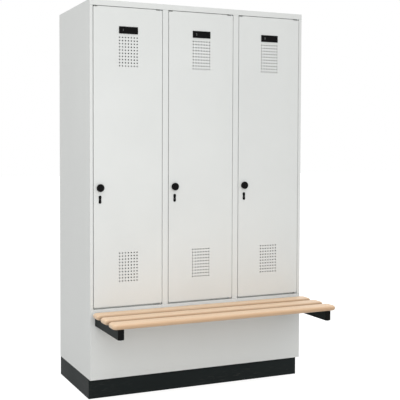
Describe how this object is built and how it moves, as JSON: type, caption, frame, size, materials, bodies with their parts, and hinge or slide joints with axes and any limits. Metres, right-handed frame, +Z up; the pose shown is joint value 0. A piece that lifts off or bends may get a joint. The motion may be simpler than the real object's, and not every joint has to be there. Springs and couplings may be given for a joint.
{
  "type": "mudroom locker unit",
  "caption": "Steel mudroom locker with perforated hinged doors, turn latches and label holders, on a closed base with a black plinth and a slatted wooden bench in front.",
  "frame": {"origin": "on the floor, under the middle of the whole outline, bench included", "axes": "+X to the right seen from the front, +Y to the back, +Z up; the doors face -Y"},
  "size_m": [1.206, 0.825, 1.95],
  "materials": {
    "light_grey_paint": "fine-textured light grey powder coat",
    "black_paint": "satin black powder coat",
    "black_plastic": "moulded black plastic",
    "zinc_steel": "bright zinc plate",
    "label_plastic": "black label plate with a plain number",
    "beech": "clear lacquered beech"
  },
  "bodies": {
    "cabinet": {"side_panel_left": "light_grey_paint", "side_panel_right": "light_grey_paint", "top_panel": "light_grey_paint", "back_panel": "light_grey_paint", "base_front_panel": "light_grey_paint", "base_floor": "light_grey_paint", "compartment_floor": "light_grey_paint", "plinth_frame": "black_paint", "partition_stile_1": "light_grey_paint", "partition_web_1": "light_grey_paint", "partition_stile_2": "light_grey_paint", "partition_web_2": "light_grey_paint", "bench_arm_left": "black_paint", "arm_cap_left": "black_plastic", "arm_bearer_left": "black_paint", "bench_arm_right": "black_paint", "arm_cap_right": "black_plastic", "arm_bearer_right": "black_paint", "bench_slat_rear": "beech", "bench_slat_middle": "beech", "bench_slat_front": "beech", "hat_shelf_1": "light_grey_paint", "coat_rail_1": "zinc_steel", "hat_shelf_2": "light_grey_paint", "coat_rail_2": "zinc_steel", "hat_shelf_3": "light_grey_paint", "coat_rail_3": "zinc_steel"},
    "door_1": {"door_1": "light_grey_paint", "label_holder_1": "label_plastic", "hinge_pin_upper_1": "zinc_steel", "hinge_pin_lower_1": "zinc_steel", "key_plate_1": "black_plastic", "lock_case_1": "zinc_steel"},
    "latch_1": {"turn_knob_1": "black_plastic", "latch_cam_1": "zinc_steel"},
    "bolt_1": {"lock_bolt_1": "zinc_steel"},
    "hook_1_1": {"coat_hook_1_1": "black_plastic"},
    "hook_1_2": {"coat_hook_1_2": "black_plastic"},
    "door_2": {"door_2": "light_grey_paint", "label_holder_2": "label_plastic", "hinge_pin_upper_2": "zinc_steel", "hinge_pin_lower_2": "zinc_steel", "key_plate_2": "black_plastic", "lock_case_2": "zinc_steel"},
    "latch_2": {"turn_knob_2": "black_plastic", "latch_cam_2": "zinc_steel"},
    "bolt_2": {"lock_bolt_2": "zinc_steel"},
    "hook_2_1": {"coat_hook_2_1": "black_plastic"},
    "hook_2_2": {"coat_hook_2_2": "black_plastic"},
    "door_3": {"door_3": "light_grey_paint", "label_holder_3": "label_plastic", "hinge_pin_upper_3": "zinc_steel", "hinge_pin_lower_3": "zinc_steel", "key_plate_3": "black_plastic", "lock_case_3": "zinc_steel"},
    "latch_3": {"turn_knob_3": "black_plastic", "latch_cam_3": "zinc_steel"},
    "bolt_3": {"lock_bolt_3": "zinc_steel"},
    "hook_3_1": {"coat_hook_3_1": "black_plastic"},
    "hook_3_2": {"coat_hook_3_2": "black_plastic"}
  },
  "joints": [
    {"name": "door_1_swing", "type": "hinge", "parent": "cabinet", "child": "door_1", "pos_m": [-0.2255, -0.0815, 1.1875], "axis": [0, 0, 1], "range_deg": [0, 110]},
    {"name": "door_2_swing", "type": "hinge", "parent": "cabinet", "child": "door_2", "pos_m": [0.1745, -0.0815, 1.1875], "axis": [0, 0, 1], "range_deg": [0, 110]},
    {"name": "door_3_swing", "type": "hinge", "parent": "cabinet", "child": "door_3", "pos_m": [0.5745, -0.0815, 1.1875], "axis": [0, 0, 1], "range_deg": [0, 110]},
    {"name": "hook_1_1_slide", "type": "slide", "parent": "cabinet", "child": "hook_1_1", "axis": [1, 0, 0], "range_m": [-0.11, 0.07]},
    {"name": "hook_1_2_slide", "type": "slide", "parent": "cabinet", "child": "hook_1_2", "axis": [1, 0, 0], "range_m": [-0.07, 0.11]},
    {"name": "hook_2_1_slide", "type": "slide", "parent": "cabinet", "child": "hook_2_1", "axis": [1, 0, 0], "range_m": [-0.11, 0.07]},
    {"name": "hook_2_2_slide", "type": "slide", "parent": "cabinet", "child": "hook_2_2", "axis": [1, 0, 0], "range_m": [-0.07, 0.11]},
    {"name": "hook_3_1_slide", "type": "slide", "parent": "cabinet", "child": "hook_3_1", "axis": [1, 0, 0], "range_m": [-0.11, 0.07]},
    {"name": "hook_3_2_slide", "type": "slide", "parent": "cabinet", "child": "hook_3_2", "axis": [1, 0, 0], "range_m": [-0.07, 0.11]},
    {"name": "knob_1_turn", "type": "hinge", "parent": "door_1", "child": "latch_1", "pos_m": [-0.549, -0.0875, 1.041], "axis": [0, 1, 0], "range_deg": [0, 90]},
    {"name": "knob_2_turn", "type": "hinge", "parent": "door_2", "child": "latch_2", "pos_m": [-0.149, -0.0875, 1.041], "axis": [0, 1, 0], "range_deg": [0, 90]},
    {"name": "knob_3_turn", "type": "hinge", "parent": "door_3", "child": "latch_3", "pos_m": [0.251, -0.0875, 1.041], "axis": [0, 1, 0], "range_deg": [0, 90]},
    {"name": "lock_1_bolt", "type": "slide", "parent": "door_1", "child": "bolt_1", "axis": [-1, 0, 0], "range_m": [0, 0.01]},
    {"name": "lock_2_bolt", "type": "slide", "parent": "door_2", "child": "bolt_2", "axis": [-1, 0, 0], "range_m": [0, 0.01]},
    {"name": "lock_3_bolt", "type": "slide", "parent": "door_3", "child": "bolt_3", "axis": [-1, 0, 0], "range_m": [0, 0.01]}
  ]
}
